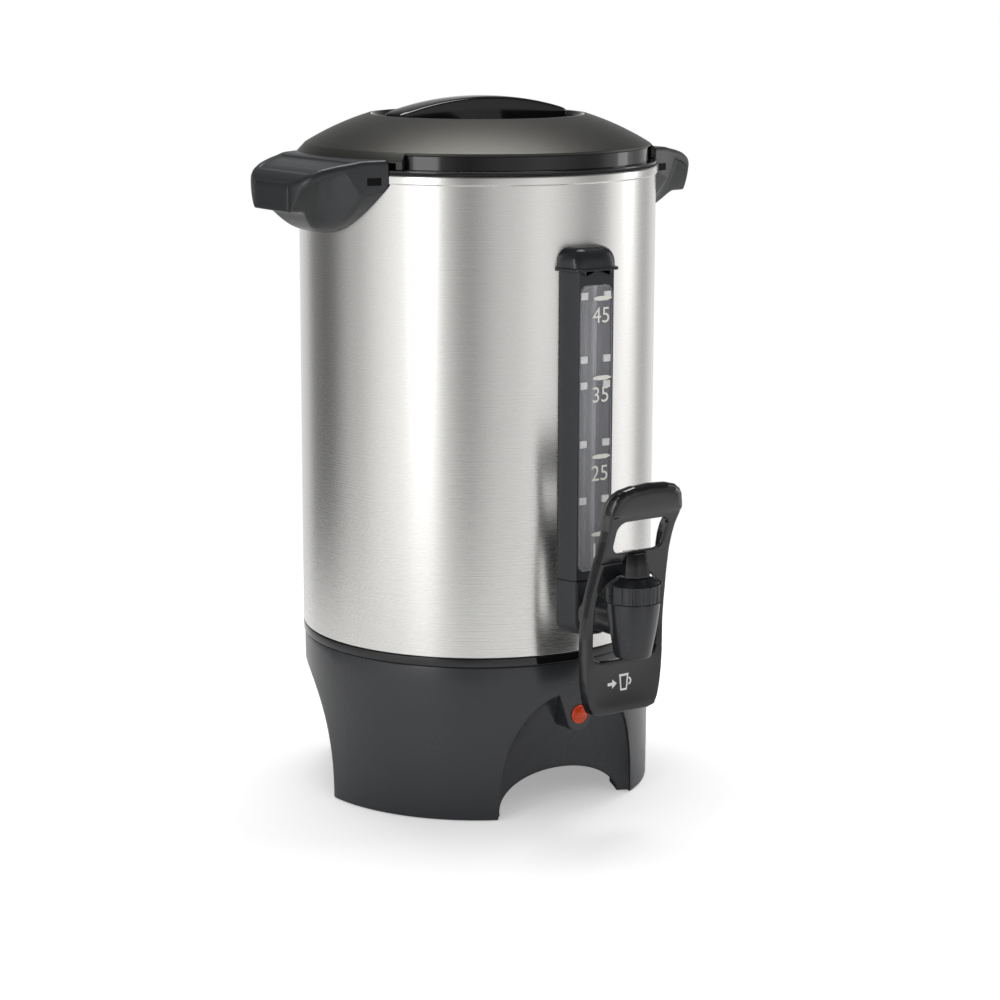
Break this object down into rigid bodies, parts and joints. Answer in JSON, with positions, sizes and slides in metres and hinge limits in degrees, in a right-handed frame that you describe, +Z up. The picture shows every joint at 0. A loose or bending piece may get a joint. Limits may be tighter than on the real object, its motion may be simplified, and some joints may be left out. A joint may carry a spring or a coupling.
{
  "type": "coffee urn",
  "caption": "Cylindrical steel percolating coffee urn with side handles, domed twist-lock lid, level gauge, push-lever tap and a dark arched base.",
  "frame": {"origin": "on the tank's axis at the table, under the rubber feet", "axes": "+Z up along the tank's axis, -Y towards the tap and the gauge, the two handles along X"},
  "size_m": [0.292, 0.2852, 0.4242],
  "materials": {
    "brushed_steel": "brushed",
    "bright_steel": "polished",
    "plain_steel": "plain",
    "pressed_aluminium": "satin",
    "satin_charcoal": "satin",
    "glossy_black": "glossy",
    "tap_black": "half gloss",
    "clear_window": "clear",
    "glass_tube": "clear",
    "red_lens": "translucent",
    "black_rubber": "matte",
    "clear_silicone": "matte",
    "ceramic": "matte",
    "pin_brass": "plated"
  },
  "bodies": {
    "urn": {"tank": "brushed_steel", "base_housing": "satin_charcoal", "base_collar": "glossy_black", "bottom_cover": "satin_charcoal", "cover_screws": "plain_steel", "rubber_feet": "black_rubber", "base_studs": "plain_steel", "base_nuts": "plain_steel", "heat_spreader": "pressed_aluminium", "brew_element": "plain_steel", "warming_element": "plain_steel", "thermostat": "ceramic", "thermal_fuse": "ceramic", "terminal_block": "ceramic", "power_inlet": "glossy_black", "inlet_pins": "pin_brass", "lamp_lens": "red_lens", "neon_lamp": "glass_tube", "handle_left": "satin_charcoal", "handle_right": "satin_charcoal", "handle_screws": "plain_steel", "gauge_housing": "satin_charcoal", "gauge_base": "satin_charcoal", "gauge_cap": "glossy_black", "gauge_window": "clear_window", "gauge_tube": "glass_tube", "upper_tube_seal": "clear_silicone", "lower_tube_seal": "clear_silicone", "gauge_screw": "plain_steel", "faucet_body": "tap_black", "bonnet": "tap_black", "outer_gasket": "black_rubber", "inner_gasket": "black_rubber", "shank_nut": "tap_black", "valve_spring": "plain_steel"},
    "valve_stem": {"valve_stem": "ceramic", "seat_cup": "clear_silicone"},
    "tap_lever": {"tap_lever": "tap_black", "lever_pin": "plain_steel"},
    "pump_tube": {"pump_tube": "pressed_aluminium", "pump_foot": "pressed_aluminium"},
    "pump_washer": {"pump_washer": "plain_steel"},
    "brew_basket": {"brew_basket": "pressed_aluminium"},
    "basket_cover": {"basket_cover": "pressed_aluminium"},
    "lid_seal": {"lid_seal": "black_rubber"},
    "lid": {"lid_cover": "satin_charcoal", "lid_skirt": "glossy_black", "lid_dish": "glossy_black", "lid_grip": "glossy_black", "lid_liner": "bright_steel", "lid_screws": "plain_steel"}
  },
  "joints": [
    {"name": "valve_lift", "type": "slide", "parent": "urn", "child": "valve_stem", "axis": [0, 0, 1], "range_m": [0, 0.00209], "stiffness_N_per_m": 300, "springref_m": -0.003, "deforming": ["valve_spring"]},
    {"name": "lever_tilt", "type": "hinge", "parent": "valve_stem", "child": "tap_lever", "pos_m": [0, -0.1585, 0.1625], "axis": [1, 0, 0], "range_deg": [0, 15]},
    {"name": "pump_lift", "type": "slide", "parent": "urn", "child": "pump_tube", "axis": [0, 0, 1], "range_m": [0, 0.29]},
    {"name": "washer_lift", "type": "slide", "parent": "pump_tube", "child": "pump_washer", "axis": [0, 0, 1], "range_m": [0, 0.0016]},
    {"name": "basket_lift", "type": "slide", "parent": "pump_tube", "child": "brew_basket", "axis": [0, 0, 1], "range_m": [0, 0.078]},
    {"name": "basket_cover_lift", "type": "slide", "parent": "brew_basket", "child": "basket_cover", "axis": [0, 0, 1], "range_m": [0, 0.03]},
    {"name": "lid_lift", "type": "slide", "parent": "basket_cover", "child": "lid_seal", "axis": [0, 0, 1], "range_m": [0, 0.12]},
    {"name": "lid_twist", "type": "hinge", "parent": "lid_seal", "child": "lid", "pos_m": [0, 0, 0.3848], "axis": [0, 0, -1], "range_deg": [0, 17]}
  ],
  "couplings": [
    {"joint": "lever_tilt", "follows": "valve_lift", "rad_per_m": 125}
  ]
}
